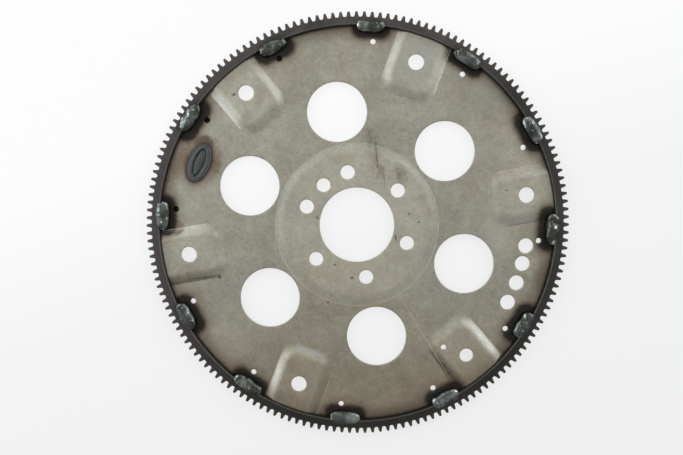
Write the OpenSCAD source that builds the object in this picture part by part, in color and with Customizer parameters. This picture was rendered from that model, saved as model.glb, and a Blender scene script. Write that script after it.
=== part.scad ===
// Flexplate: a pressed steel drive plate with a welded starter ring gear.
// All sizes are in millimetres and all angles in degrees.
// The axis of the bore is Z. The engine side of the ring gear lies on Z = 0.
// The converter side, with the raised pads, faces +Z.
// The +X axis runs through the pad with the tight bolt hole.

/* [Drive plate] */
// Thickness of the pressed sheet
sheet_thickness = 3; // [2.5:0.1:3.5]
// Height of the plate's engine side above that of the ring gear
plate_setback = 3; // [2.5:0.1:3.5]
// Radial gap between the edge of the plate and the ring gear
edge_gap = 0.1; // [0.05:0.05:0.2]

/* [Hub] */
// Diameter of the bore that sits on the crankshaft pilot
bore_diameter = 63.5; // [60:0.1:66]
// Radius of the flat face of the hub
hub_flat_radius = 63; // [60:0.5:65]
// Radial width of the slope from the hub down to the plate
hub_slope_width = 6.5; // [4:0.5:8]
// Height of the hub above the plate
hub_rise = 1; // [0.6:0.1:2]
// Diameter of the circle of the crankshaft bolts
crank_circle_diameter = 90.93; // [88:0.01:94]
// Diameter of each crankshaft bolt hole
crank_hole_diameter = 11.9; // [10:0.1:13]
// Distance of the dowel hole inside the circle of the crankshaft bolts
dowel_inset = 1.3; // [0:0.1:4]
// Diameter of the dowel hole
dowel_hole_diameter = 11.7; // [9:0.1:12]

/* [Lightening holes] */
// Width of the sheet between the foot of the hub and a lightening hole
lightening_web = 2.6; // [2:0.1:5]
// Width of the sheet between a lightening hole and the edge of the plate
lightening_edge_distance = 44; // [42:0.5:48]

/* [Converter pads] */
// Distance of the converter bolts inside the edge of the plate
converter_edge_distance = 20.85; // [19:0.05:23]
// Diameter of a converter bolt hole
converter_hole_diameter = 13.2; // [11.5:0.1:14]
// Diameter of the one converter bolt hole that is tight
tight_hole_diameter = 11.5; // [9:0.1:11.5]
// Height of the pads above the plate
pad_rise = 2.5; // [2:0.1:4]
// Width of the flat top of a pad
pad_flat_width = 33; // [30:0.5:36]
// Width of the slope around a pad
pad_slope_width = 7; // [5:0.5:8]
// Length of a pad from its inner foot to the edge of the plate
pad_length = 52.4; // [50:0.1:54]
// Corner radius at the inner foot of a pad
pad_corner_radius = 13; // [10:0.5:15]

/* [Small holes] */
// Distance of the index holes inside the edge of the plate
index_edge_distance = 11.4; // [10:0.1:13]
// Diameter of each index hole
index_hole_diameter = 4.5; // [3:0.1:5]
// Distance of the gauge hole inside the circle of the converter bolts
gauge_inset = 17.45; // [15:0.05:19]
// Angle of the gauge hole from the middle of its pad
gauge_angle = -4.7; // [-5:0.1:-3]
// Diameter of the gauge hole
gauge_hole_diameter = 4.6; // [3:0.1:5]

/* [Balance] */
// Distance of the balance holes inside the edge of the plate
balance_edge_distance = 21.6; // [20:0.1:24]
// Diameter of each balance hole
balance_hole_diameter = 12.7; // [10:0.1:13.5]
// Angles of the balance holes
balance_angles = [22.8, 30, 36.8, 42.9];
// Distance of the middle of the oval balance weld inside the edge of the plate
oval_edge_distance = 22.4; // [21:0.1:25]
// Angle of the oval balance weld, opposite the balance holes
oval_angle = 208.5; // [206:0.5:211]
// Length of the oval along the rim
oval_length = 35; // [30:0.5:38]
// Width of the oval
oval_width = 19.4; // [18:0.2:21]
// Height of the oval's rim and core above the plate
oval_height = 1.5; // [1.2:0.1:2]
// Width of the oval's rim
oval_rim_width = 5.3; // [4.8:0.1:5.8]
// Width of the groove between the oval's rim and core
oval_groove_width = 1.5; // [1:0.1:1.8]
// Depth of that groove
oval_groove_depth = 0.5; // [0.3:0.1:0.8]
// First angle of the counterweight behind the plate
counterweight_start = 159; // [157:0.5:162]
// Last angle of the counterweight
counterweight_end = 230; // [227:0.5:232]
// Radial gap between the counterweight and the ring gear
counterweight_gap = 2; // [1:0.1:4]
// Radial width of the counterweight
counterweight_width = 14.5; // [13:0.1:17]
// Radial width of its wide part behind the oval
counterweight_tab_width = 32; // [31:0.5:35]
// Half of the angle that the wide part fills
counterweight_tab_angle = 10.5; // [9.5:0.5:11.5]
// Diameter of the notch that clears a converter bolt
counterweight_notch_diameter = 20; // [18:0.5:22]
// Distance of the counterweight's face inside the engine side of the ring gear
counterweight_recess = 0.2; // [0.1:0.1:0.5]

/* [Ring gear] */
// Number of teeth
tooth_count = 168; // [164:1:172]
// Pitch diameter of the teeth
pitch_diameter = 355.6; // [353:0.2:358]
// Height of a tooth above the pitch circle
tooth_addendum = 1.3; // [1:0.1:1.8]
// Depth of a tooth gap below the pitch circle
tooth_dedendum = 3.1; // [2.6:0.1:3.4]
// Thickness of a tooth on the pitch circle
tooth_thickness = 2.5; // [2.2:0.1:3.2]
// Pressure angle of the teeth
pressure_angle = 14.5; // [12:0.5:16]
// Cut across the corners of a tooth's tip
tip_chamfer = 0.4; // [0.2:0.1:0.6]
// Radial depth of the ring between the tooth gaps and its bore
ring_depth = 7.7; // [6:0.1:9]
// Angle of one tooth from the X axis
tooth_phase = 0.84; // [0:0.02:2.14]
// Width of the ring along the axis
ring_width = 11.1; // [10.7:0.1:11.6]
// Chamfer on both inner edges of the ring
ring_chamfer = 0.6; // [0.3:0.1:0.8]

/* [Ring welds] */
// Width of a weld bead along the radius
weld_width = 12.6; // [11.8:0.1:13.4]
// Thickness of a weld bead along the axis
weld_thickness = 10; // [9.4:0.1:10.6]
// Height of the middle of a bead above the face of the plate
weld_centre_height = 1.4; // [1:0.1:1.8]
// Distance of the middle of a bead outside the inner wall of the ring
weld_centre_shift = 0.2; // [0:0.1:0.6]
// Length of the rounded form of a bead as a multiple of the bead's length
weld_stretch = 2; // [1.6:0.1:2.4]
// Width of the oval that rounds the ends of a bead
weld_end_width = 18; // [16:0.1:20]
// Angle of each bead past its index hole
weld_offsets = [4, 3.75, 3.5, 1.5, 1, 0.3, 2.3, 2.2, 3.1, 0.75, 1.5, 2.1];
// Distance that each bead lies outside or inside its usual place along the radius
weld_shifts = [-1.3, -0.5, 1.3, 0.7, 1, -0.8, 1.2, -0.5, -0.8, -0.3, -0.3, 0.3];
// Length of each bead along the rim
weld_lengths = [25, 27.5, 26.5, 26.5, 25, 25, 26.5, 25.5, 26, 27.5, 27.5, 25.5];

/* [Hidden] */
$fn = 96;
station_count = 6;
station_angle = 360 / station_count;
weld_count = len(weld_lengths);
weld_spacing = 360 / weld_count;
through = 40;
pitch_radius = pitch_diameter / 2;
base_radius = pitch_radius * cos(pressure_angle);
tip_radius = pitch_radius + tooth_addendum;
shoulder_radius = tip_radius - tip_chamfer;
root_radius = pitch_radius - tooth_dedendum;
ring_inner_radius = root_radius - ring_depth;
plate_radius = ring_inner_radius - edge_gap;
plate_face = plate_setback + sheet_thickness;
hub_foot_radius = hub_flat_radius + hub_slope_width;
crank_radius = crank_circle_diameter / 2;
dowel_radius = crank_radius - dowel_inset;
lightening_start = hub_foot_radius + lightening_web;
lightening_hole_diameter = plate_radius - lightening_edge_distance - lightening_start;
lightening_radius = lightening_start + lightening_hole_diameter / 2;
converter_radius = plate_radius - converter_edge_distance;
index_radius = plate_radius - index_edge_distance;
gauge_radius = converter_radius - gauge_inset;
balance_radius = plate_radius - balance_edge_distance;
oval_radius = plate_radius - oval_edge_distance;
counterweight_outer_radius = ring_inner_radius - counterweight_gap;
weld_space_radius = ring_inner_radius - weld_width;
// The pad form runs on below its foot by this much, so that it cuts cleanly
pad_sink = 1;
pad_height = pad_rise + pad_sink;
pad_slope_drop = pad_slope_width * pad_sink / pad_rise;
pad_half_base = pad_flat_width / 2 + pad_slope_width + pad_slope_drop;
pad_reach_base = pad_length + pad_slope_drop;
pad_reach_top = pad_length - pad_slope_width;
pad_overrun = 10;
pad_corner_step = 15;

// The angle on the involute, in degrees, at a radius outside the base circle
function involute(radius) =
  let (angle = acos(base_radius / radius))
  tan(angle) * 180 / PI - angle;

// Half of the angle that a tooth fills at a radius
function half_tooth(radius) =
  tooth_thickness / pitch_diameter * 180 / PI + involute(pitch_radius) - involute(radius);

// Half of the angle of the narrow top of a tooth, between its cut corners
half_tip = half_tooth(tip_radius) - tip_chamfer / tip_radius * 180 / PI;

function polar(radius, angle) = [radius * cos(angle), radius * sin(angle)];

// One tooth, from the foot of one flank to the foot of the other
function tooth(middle) = [
  polar(root_radius, middle - half_tooth(root_radius)),
  polar(pitch_radius, middle - half_tooth(pitch_radius)),
  polar(shoulder_radius, middle - half_tooth(shoulder_radius)),
  polar(tip_radius, middle - half_tip),
  polar(tip_radius, middle + half_tip),
  polar(shoulder_radius, middle + half_tooth(shoulder_radius)),
  polar(pitch_radius, middle + half_tooth(pitch_radius)),
  polar(root_radius, middle + half_tooth(root_radius))
];

// Round holes through the plate, one at each of the angles
module holes(radius, diameter, angles) {
  for (angle = angles)
    rotate(angle)
      translate([radius, 0, -through / 2])
        cylinder(h = through, d = diameter);
}

// Outline of a pad at the bottom of its form, with X along the radius and the rim at X = 0
module pad_outline() {
  corner_x = pad_corner_radius - pad_reach_base;
  corner_y = pad_half_base - pad_corner_radius;
  polygon(concat(
    [[pad_overrun, -pad_half_base], [pad_overrun, pad_half_base]],
    [for (a = [90 : pad_corner_step : 180]) [corner_x, corner_y] + polar(pad_corner_radius, a)],
    [for (a = [180 : pad_corner_step : 270]) [corner_x, -corner_y] + polar(pad_corner_radius, a)]
  ));
}

// Raised form of one pad, its foot on Z = 0
module pad_form() {
  translate([plate_radius, 0, -pad_sink])
    linear_extrude(
      height = pad_height,
      slices = 1,
      scale = [pad_reach_top / pad_reach_base, pad_flat_width / 2 / pad_half_base]
    )
      pad_outline();
}

module pads() {
  for (i = [0 : station_count - 1])
    rotate(i * station_angle)
      pad_form();
}

// The sheet before it is holed, with the raised hub and pads
module pressed_sheet() {
  difference() {
    union() {
      rotate_extrude()
        polygon([
          [bore_diameter / 2, plate_setback + hub_rise],
          [hub_flat_radius, plate_setback + hub_rise],
          [hub_foot_radius, plate_setback],
          [plate_radius, plate_setback],
          [plate_radius, plate_face],
          [hub_foot_radius, plate_face],
          [hub_flat_radius, plate_face + hub_rise],
          [bore_diameter / 2, plate_face + hub_rise]
        ]);
      intersection() {
        translate([0, 0, plate_face])
          pads();
        cylinder(h = through, r = plate_radius);
      }
    }
    translate([0, 0, plate_setback])
      pads();
  }
}

module drive_plate() {
  color("#a09b8b")
    difference() {
      pressed_sheet();
      holes(
        crank_radius,
        crank_hole_diameter,
        [for (i = [0 : station_count - 1]) (i + 0.5) * station_angle]
      );
      holes(dowel_radius, dowel_hole_diameter, [180]);
      holes(
        lightening_radius,
        lightening_hole_diameter,
        [for (i = [0 : station_count - 1]) (i + 0.5) * station_angle]
      );
      holes(converter_radius, tight_hole_diameter, [0]);
      holes(
        converter_radius,
        converter_hole_diameter,
        [for (i = [1 : station_count - 1]) i * station_angle]
      );
      holes(
        index_radius,
        index_hole_diameter,
        [for (i = [0 : weld_count - 1]) (i + 0.5) * weld_spacing]
      );
      holes(gauge_radius, gauge_hole_diameter, [gauge_angle]);
      holes(balance_radius, balance_hole_diameter, balance_angles);
    }
}

// Bore of the ring gear with its two chamfers
module ring_bore() {
  translate([0, 0, -1])
    cylinder(h = ring_width + 2, r = ring_inner_radius);
  for (side = [0, 1])
    translate([0, 0, side * ring_width])
      mirror([0, 0, side])
        translate([0, 0, -1])
          cylinder(
            h = ring_chamfer + 1,
            r1 = ring_inner_radius + ring_chamfer + 1,
            r2 = ring_inner_radius
          );
}

module ring_gear() {
  color("#4d4543")
    difference() {
      linear_extrude(height = ring_width)
        polygon([for (i = [0 : tooth_count - 1]) each tooth(tooth_phase + i * 360 / tooth_count)]);
      ring_bore();
    }
}

// Free space in the corner of plate and ring, above the plate and in front of the ring
module weld_space() {
  rotate_extrude($fn = 360)
    polygon([
      [weld_space_radius, plate_face],
      [ring_inner_radius, plate_face],
      [ring_inner_radius, ring_width - ring_chamfer],
      [ring_inner_radius + ring_chamfer, ring_width],
      [root_radius, ring_width],
      [root_radius, through],
      [weld_space_radius, through]
    ]);
}

// A rounded bead with blunt oval ends, its middle at the origin
module bead(length) {
  intersection() {
    scale([1, weld_stretch * length / weld_width, weld_thickness / weld_width])
      sphere(d = weld_width);
    linear_extrude(height = through, center = true)
      oval(weld_end_width, length);
  }
}

// One bead, laid in the corner and cut to fit plate and ring
module ring_weld(i) {
  angle = (i + 0.5) * weld_spacing + weld_offsets[i];
  color("#5d6668")
    difference() {
      intersection() {
        weld_space();
        rotate(angle)
          translate([
            ring_inner_radius + weld_centre_shift + weld_shifts[i],
            0,
            plate_face + weld_centre_height
          ])
            bead(weld_lengths[i]);
      }
      translate([0, 0, plate_face])
        rotate(round(angle / station_angle) * station_angle)
          pad_form();
    }
}

module oval(length, width) {
  scale([length / width, 1])
    circle(d = width);
}

// Oval weld on the plate: a rim, a groove and a core
module balance_weld() {
  groove_inset = 2 * oval_rim_width;
  core_inset = groove_inset + 2 * oval_groove_width;
  color("#7f8488")
    rotate(oval_angle)
      translate([oval_radius, 0, plate_face])
        rotate(90)
          difference() {
            linear_extrude(height = oval_height)
              oval(oval_length, oval_width);
            translate([0, 0, oval_height - oval_groove_depth])
              linear_extrude(height = oval_height)
                difference() {
                  oval(oval_length - groove_inset, oval_width - groove_inset);
                  oval(oval_length - core_inset, oval_width - core_inset);
                }
          }
}

// Part of a flat ring, lying against the engine side of the plate
module arc_bar(width, start, end) {
  rotate(start)
    rotate_extrude(angle = end - start)
      translate([counterweight_outer_radius - width, counterweight_recess])
        square([width, plate_setback - counterweight_recess]);
}

module counterweight() {
  color("#6f6a62")
    difference() {
      union() {
        arc_bar(counterweight_width, counterweight_start, counterweight_end);
        arc_bar(
          counterweight_tab_width,
          oval_angle - counterweight_tab_angle,
          oval_angle + counterweight_tab_angle
        );
      }
      holes(converter_radius, counterweight_notch_diameter, [180]);
    }
}

drive_plate();
ring_gear();
balance_weld();
counterweight();
for (i = [0 : weld_count - 1])
  ring_weld(i);
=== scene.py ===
import math

import bmesh
import bpy
from mathutils import Matrix, Vector, noise
from mathutils.geometry import delaunay_2d_cdt


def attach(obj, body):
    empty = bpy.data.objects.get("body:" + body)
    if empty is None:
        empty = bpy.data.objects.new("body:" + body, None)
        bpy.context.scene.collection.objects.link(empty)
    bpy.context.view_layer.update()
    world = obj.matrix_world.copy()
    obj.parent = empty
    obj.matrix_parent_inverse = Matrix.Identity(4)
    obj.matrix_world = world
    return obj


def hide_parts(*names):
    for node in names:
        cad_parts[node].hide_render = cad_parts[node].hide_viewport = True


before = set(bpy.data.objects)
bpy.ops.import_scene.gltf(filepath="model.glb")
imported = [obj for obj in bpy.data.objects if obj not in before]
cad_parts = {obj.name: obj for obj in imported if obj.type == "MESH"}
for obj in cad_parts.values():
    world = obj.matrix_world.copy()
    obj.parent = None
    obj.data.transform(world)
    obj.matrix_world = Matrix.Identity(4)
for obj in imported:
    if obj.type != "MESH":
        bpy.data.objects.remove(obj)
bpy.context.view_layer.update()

# Sizes are in millimetres until a mesh is made. Most repeat the values of the solids. The seam between
# plate and ring, the inner ends of the pads and two of the beads lie up to 2 mm away from theirs.
MM = 0.001
SHEET = 3.0
PLATE_BACK = 3.0
PLATE_FACE = PLATE_BACK + SHEET
PLATE_EDGE = 168.1
# Where the plate starts to darken towards its edge
RIM_START = 153.0
HUB_FOOT, HUB_RISE = 69.5, 1.0
PAD_COUNT = 6
PAD_STEP = math.radians(360 / PAD_COUNT)
PAD_RISE, PAD_SLOPE = 2.5, 7.0
PAD_HALF_FLAT = 16.5
PAD_TOP_INNER = 119.5
PAD_TOP_CORNER = 6.5
# How far the edges of the sheet are rounded
HOLE_EDGE = 0.45
# Half the width of the painted lines of highlight and shade at a pressed bend, and how far inside the foot of
# a pad a second line lies
CREASE, SECOND_CREASE = 0.6, 1.6
# How much wider than its slope the soft bend of a pad is, and how much more at its corners
SOFT_TOP, SOFT_END = 2.5, 4.0
# Distances inside the foot of a pad, or of the hub, at which the bends are drawn
PAD_LINES = (
    -0.9, -0.45, 0, 0.45, 0.8, 1.15, 1.6, 2.05, 2.7, 3.5, 4.3, 5.1, 5.9, 6.7, 7.5, 8.4, 9.3, 10.2, 11.2,
)
HUB_LINES = (-0.9, -0.45, 0, 0.45, 0.9, 1.6, 2.4, 3.2, 4.0, 4.9, 5.8, 6.7, 7.6, 8.5, 9.4)
HUB_SOFT_WIDTH = 9.0
# How bright each pad is rubbed, from the one with the tight hole on
PAD_POLISH = (0.45, 0.25, 0.3, 0.35, 0.4, 0.35)
# How strong the painted highlight on the two sides of each pad is, or the painted shade if less than 0
SIDE_LIGHT_AND_SHADE = ((0.5, -1.1), (-0.1, 0.45), (0.15, 0.2), (0.38, 0.2), (-0.4, 0.1), (-0.1, 0.35))
# How strong the painted highlight line along the two sides of each pad is, or the painted shade line if less
# than 0
SIDE_LINE_LIGHT_AND_SHADE = ((0.5, 0.0), (0.35, -0.8), (0.4, 1.0), (1.0, 0.8), (-1.0, 0.8), (0.9, 0.6))
# How strong the painted highlight on the inner end of each pad is, or the painted shade if less than 0
END_LIGHT_AND_SHADE = (0.2, 0.0, -0.22, -0.2, 0.25, 0.45)
# Strength of the painted highlight on the slope of the hub
HUB_SLOPE_HIGHLIGHT = 0.2

RING_INNER, RING_WIDTH, RING_CHAMFER = 168.2, 11.1, 0.6
TEETH = 168
TOOTH_PHASE = math.radians(0.84)
PITCH_R, TIP_R, ROOT_R = 177.8, 179.1, 174.7
PRESSURE = math.radians(14.5)
TOOTH_THICKNESS = 2.5
TIP_CUT = 0.4

WELD_COUNT = 12
WELD_HALF_WIDTH, WELD_HALF_HEIGHT = 6.3, 5.0
WELD_STRETCH = 2.0
FACE_FLATNESS = 2.6
WELD_END_HALF_WIDTH = 9.0
WELD_CENTRE_R = RING_INNER - 1.0
WELD_CENTRE_Z = PLATE_FACE + 1.4
# How deep a bead sinks into the ring's bore, the ring's face and the plate, so that no gap shows
SINK_IN_BORE, SINK_IN_RING, SINK_IN_PLATE = 0.2, 0.15, 0.25
WELD_OFFSETS = (4, 3.75, 3.5, 1.5, 1, 0.3, 2.3, 2.2, 3.1, 0.75, 1.5, 2.1)
WELD_SHIFTS = (-1.3, -1.1, 1.3, 0.7, 1, -0.8, 1.2, -1.2, -0.8, -0.3, -0.3, 0.3)
WELD_LENGTHS = (25, 27.5, 26.5, 26.5, 25, 25, 26.5, 25.5, 26, 27.5, 27.5, 25.5)
# How much further than usual the soot of each bead reaches over the plate
WELD_SOOT = (0.6, 0.6, 0.2, -0.9, -1.2, 0.2, 0.9, -0.6, 0.2, -1.5, -1.0, -0.9)
# The line round which that soot lies, and how far short of a bead's end it stops
SOOT_R, SOOT_SHORT = 165.5, 4.5
# How much each bead gleams more than usual: a painted sheen that lightens its colour and adds painted glints
WELD_PAINTED_GLEAM = (0.03, 0, 0.06, 0, 0, 0.03, 0.04, 0, 0.1, -0.02, 0.1, 0.14)
WELD_ANGLES = [
    math.radians((i + 0.5) * 360 / WELD_COUNT + WELD_OFFSETS[i]) for i in range(WELD_COUNT)
]

OVAL_R, OVAL_ANGLE = 144.5, math.radians(208.5)
OVAL_HALF_LENGTH, OVAL_HALF_WIDTH = 17.5, 9.7
OVAL_HEIGHT = 1.5
# Points further than this from the middle of the oval take one distance, and nearer ones a search by halves
OVAL_REACH, OVAL_FAR, OVAL_HALVINGS = 60.0, 40.0, 24

# Holes of the plate: the radius on which they lie, and their own radius
BORE_R = 31.75
CRANK_CIRCLE_R, CRANK_HOLE_R = 45.465, 5.95
DOWEL_CIRCLE_R, DOWEL_HOLE_R, DOWEL_ANGLE = 44.165, 5.85, 180
LIGHTENING_CIRCLE_R, LIGHTENING_HOLE_R = 97.5, 25.4
CONVERTER_CIRCLE_R, CONVERTER_HOLE_R, TIGHT_HOLE_R = 146.05, 6.6, 5.75
INDEX_CIRCLE_R, INDEX_HOLE_R = 155.5, 2.25
GAUGE_CIRCLE_R, GAUGE_HOLE_R, GAUGE_ANGLE = 128.6, 2.3, -4.7
BALANCE_CIRCLE_R, BALANCE_HOLE_R = 145.3, 6.35
BALANCE_ANGLES = (22.8, 30, 36.8, 42.9)
# The counterweight lies behind the index holes at these angles
BLOCKED_ANGLES = (165, 195, 225)
# Points round a hole of each size
BORE_POINTS, LARGE_POINTS, BOLT_POINTS, SMALL_POINTS = 240, 180, 64, 32

# The view is turned by this much about the bore's axis, so that the pads sit as they are seen.
VIEW_TURN = math.radians(50)


def polar(radius, angle):
    return radius * math.cos(angle), radius * math.sin(angle)


def around(radius, degrees, hole_radius, count):
    x, y = polar(radius, math.radians(degrees))
    return x, y, hole_radius, count


def turned(x, y):
    """A place or direction in the turned view, as X and Y of the frame."""
    cos, sin = polar(1, VIEW_TURN)
    return x * cos - y * sin, x * sin + y * cos


PAD_ANGLES = [60 * i for i in range(PAD_COUNT)]
BETWEEN_PADS = [30 + angle for angle in PAD_ANGLES]
CONVERTER_HOLES = [TIGHT_HOLE_R] + [CONVERTER_HOLE_R] * (PAD_COUNT - 1)
INDEX_ANGLES = [15 + 30 * i for i in range(WELD_COUNT)]
HOLES = [(0.0, 0.0, BORE_R, BORE_POINTS)]
HOLES += [around(CRANK_CIRCLE_R, angle, CRANK_HOLE_R, BOLT_POINTS) for angle in BETWEEN_PADS]
HOLES += [around(DOWEL_CIRCLE_R, DOWEL_ANGLE, DOWEL_HOLE_R, BOLT_POINTS)]
HOLES += [around(LIGHTENING_CIRCLE_R, angle, LIGHTENING_HOLE_R, LARGE_POINTS) for angle in BETWEEN_PADS]
HOLES += [
    around(CONVERTER_CIRCLE_R, angle, radius, BOLT_POINTS)
    for angle, radius in zip(PAD_ANGLES, CONVERTER_HOLES)
]
HOLES += [around(INDEX_CIRCLE_R, angle, INDEX_HOLE_R, SMALL_POINTS) for angle in INDEX_ANGLES]
HOLES += [around(GAUGE_CIRCLE_R, GAUGE_ANGLE, GAUGE_HOLE_R, SMALL_POINTS)]
HOLES += [around(BALANCE_CIRCLE_R, angle, BALANCE_HOLE_R, BOLT_POINTS) for angle in BALANCE_ANGLES]
BLOCKED_HOLES = [around(INDEX_CIRCLE_R, angle, INDEX_HOLE_R, SMALL_POINTS) for angle in BLOCKED_ANGLES]


# Heights of the pressed sheet

# How far the soft corner of a pad reaches, and over which lengths its bends turn sharp and soft again
CORNER_REACH, SIDE_FADE, END_FADE = 4, 18, 10
END_SHARPNESS, HUB_SHARPNESS = 0.15, 0.6
# Where the painted line along a pad's side starts, and how soon it shows
SIDE_LINE_START, SIDE_LINE_FADE = 3.5, 5
# How deep, how wide and how soft the painted highlight line at a pad's inner end is
END_LINE_DEPTH, END_LINE_HALF, END_LINE_FADE = 0.25, 9, 6
# How deep the painted highlight line at the foot of the hub is, and how much deeper at the bottom of the view
HUB_LINE, HUB_LINE_GAIN = 0.4, 0.7
# Where the painted highlight and shade on the sides and the inner end of a pad lie, and over which lengths
# that fades
SIDE_PAINT_START, SIDE_PAINT_FADE = 8, 30
END_PAINT_HALF, END_PAINT_HALF_FADE, END_PAINT_DEPTH = 2, 10, 8
# The same up the slope of a pad, as shares of its width, and up that of the hub
SIDE_PAINT_FOOT, END_PAINT_FOOT, PAINT_TOP, PAINT_TOP_FADE = 0.1, 0.6, 1.5, 1.2
HUB_PAINT_FOOT, HUB_PAINT_TOP, HUB_PAINT_FADE = 0.8, 6.5, 5


def smooth(u):
    """A ramp from 0 to 1 with round ends."""
    u = min(max(u, 0), 1)
    return u * u * (3 - 2 * u)


def in_pad(x, y):
    """The number of the nearest pad, and a point's place along and across it."""
    number = round(math.atan2(y, x) / PAD_STEP)
    cos, sin = polar(1, number * PAD_STEP)
    return number % PAD_COUNT, x * cos + y * sin, y * cos - x * sin


def inside_pad(x, y):
    """How far a point lies inside the foot of the nearest pad."""
    _, along, across = in_pad(x, y)
    short = PAD_TOP_INNER + PAD_TOP_CORNER - along
    wide = abs(across) - PAD_HALF_FLAT + PAD_TOP_CORNER
    outside = math.hypot(max(short, 0), max(wide, 0)) + min(max(short, wide), 0)
    return PAD_SLOPE + PAD_TOP_CORNER - outside


def pad_sharpness(x, y):
    """1 along the sides of a pad, less along its inner end and 0 at its soft corners."""
    _, along, across = in_pad(x, y)
    side = smooth((along - PAD_TOP_INNER + CORNER_REACH) / SIDE_FADE)
    end = END_SHARPNESS * smooth((PAD_HALF_FLAT - CORNER_REACH - abs(across)) / END_FADE)
    return max(side, end)


def rise(inside, width, sharp):
    """Share of a pressed rise that is reached at a distance inside its foot."""
    share = min(max(inside / width, 0), 1)
    pillow = 1 - (1 - share) ** 2
    return 0.5 * sharp * pillow + (1 - 0.5 * sharp) * smooth(share)


def pad_lift(x, y):
    """Share of a pad's height that is reached at a point."""
    sharp = pad_sharpness(x, y)
    return rise(inside_pad(x, y), PAD_SLOPE + SOFT_TOP + SOFT_END * (1 - sharp), sharp)


def plate_height(x, y):
    """Height of the plate's front face."""
    hub = rise(HUB_FOOT - math.hypot(x, y), HUB_SOFT_WIDTH, HUB_SHARPNESS)
    return PLATE_FACE + HUB_RISE * hub + PAD_RISE * pad_lift(x, y)


def pad_side(table, x, y):
    """What a table holds for the nearest pad and the side of it that a point lies on."""
    pad, _, across = in_pad(x, y)
    return table[pad][across < 0]


def crease_light_and_shade(x, y):
    """Painted highlight and shade lines at the foot of pads and hub: 1 on a highlight line and -1 on a shade
    line.
    """
    _, along, across = in_pad(x, y)
    inside = inside_pad(x, y)
    line = max(1 - abs(inside) / CREASE, 0.6 - abs(inside - SECOND_CREASE) / CREASE, 0)
    shown = smooth((along - PAD_TOP_INNER - SIDE_LINE_START) / SIDE_LINE_FADE)
    side = line * shown * pad_side(SIDE_LINE_LIGHT_AND_SHADE, x, y)
    end = line * END_LINE_DEPTH * smooth((END_LINE_HALF - abs(across)) / END_LINE_FADE)
    hub = max(1 - abs(HUB_FOOT - math.hypot(x, y)) / CREASE, 0)
    below = 0.5 - 0.5 * math.sin(math.atan2(y, x) - VIEW_TURN)
    return max(side, end, hub * (HUB_LINE + HUB_LINE_GAIN * below), key=abs)


def rim_shade(x, y):
    """How far the plate darkens towards its edge, most between the pads."""
    rim = smooth((math.hypot(x, y) - RIM_START) / (PLATE_EDGE - RIM_START))
    return rim * (1 - 0.5 * pad_lift(x, y))


def pad_polish(x, y):
    """How bright the top of a pad is rubbed."""
    pad, _, _ = in_pad(x, y)
    return PAD_POLISH[pad] * pad_lift(x, y)


def slope_light_and_shade(x, y):
    """Painted highlight and painted shade on the slopes of a pad and of the hub, most near their foot."""
    pad, along, across = in_pad(x, y)
    share = inside_pad(x, y) / PAD_SLOPE
    side = smooth((along - PAD_TOP_INNER + SIDE_PAINT_START) / SIDE_PAINT_FADE) * pad_side(SIDE_LIGHT_AND_SHADE, x, y)
    end = smooth((PAD_HALF_FLAT + END_PAINT_HALF - abs(across)) / END_PAINT_HALF_FADE)
    end *= smooth((PAD_TOP_INNER + END_PAINT_DEPTH - along) / END_PAINT_DEPTH) * END_LIGHT_AND_SHADE[pad]
    painted_slope = side * smooth(share / SIDE_PAINT_FOOT) + end * smooth(share / END_PAINT_FOOT)
    painted_slope *= smooth((PAINT_TOP - share) / PAINT_TOP_FADE)
    hub = HUB_FOOT - math.hypot(x, y)
    return painted_slope + HUB_SLOPE_HIGHLIGHT * smooth(hub / HUB_PAINT_FOOT) * smooth((HUB_PAINT_TOP - hub) / HUB_PAINT_FADE)


def weld_distance(x, y):
    """Distance from the middle line of the nearest bead's soot, less how much further that soot reaches."""
    radius, angle = math.hypot(x, y), math.atan2(y, x)
    nearest = math.inf
    for middle, length, shift, soot in zip(WELD_ANGLES, WELD_LENGTHS, WELD_SHIFTS, WELD_SOOT):
        turn = math.remainder(angle - middle, 2 * math.pi)
        past = max(abs(turn) * radius - (length / 2 - SOOT_SHORT), 0)
        nearest = min(nearest, math.hypot(past, radius - SOOT_R - shift) - soot)
    return nearest


def oval_distance(x, y):
    """How far a point lies outside the edge of the oval weld; inside it, less than 0."""
    along = -x * math.sin(OVAL_ANGLE) + y * math.cos(OVAL_ANGLE)
    across = x * math.cos(OVAL_ANGLE) + y * math.sin(OVAL_ANGLE) - OVAL_R
    if math.hypot(along, across) > OVAL_REACH:
        return OVAL_FAR
    low, high = 0.001 - OVAL_HALF_WIDTH, OVAL_REACH
    for _ in range(OVAL_HALVINGS):
        middle = (low + high) / 2
        if math.hypot(along / (OVAL_HALF_LENGTH + middle), across / (OVAL_HALF_WIDTH + middle)) > 1:
            low = middle
        else:
            high = middle
    return low


# Small helpers

def in_scene(name, data):
    """An object at the origin that shows a mesh, a lamp or a camera."""
    obj = bpy.data.objects.new(name, data)
    bpy.context.scene.collection.objects.link(obj)
    return obj


def new_object(name, vertices, faces, rounded=True):
    """A mesh object at the origin, from points in millimetres."""
    mesh = bpy.data.meshes.new(name)
    mesh.from_pydata([(x * MM, y * MM, z * MM) for x, y, z in vertices], [], faces)
    mesh.validate()
    tidy_normals(mesh)
    mesh.polygons.foreach_set("use_smooth", [rounded] * len(mesh.polygons))
    return in_scene(name, mesh)


def tidy_normals(mesh):
    """Turns all faces of a mesh outwards."""
    work = bmesh.new()
    work.from_mesh(mesh)
    bmesh.ops.recalc_face_normals(work, faces=work.faces)
    work.to_mesh(mesh)
    work.free()


def ring_faces(rows, count):
    """Faces between neighbouring rows of points, each of which closes into a ring."""
    faces = []
    for a in range(0, (rows - 1) * count, count):
        b = a + count
        for k in range(count):
            after = (k + 1) % count
            faces.append((a + k, a + after, b + after, b + k))
    return faces


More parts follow.
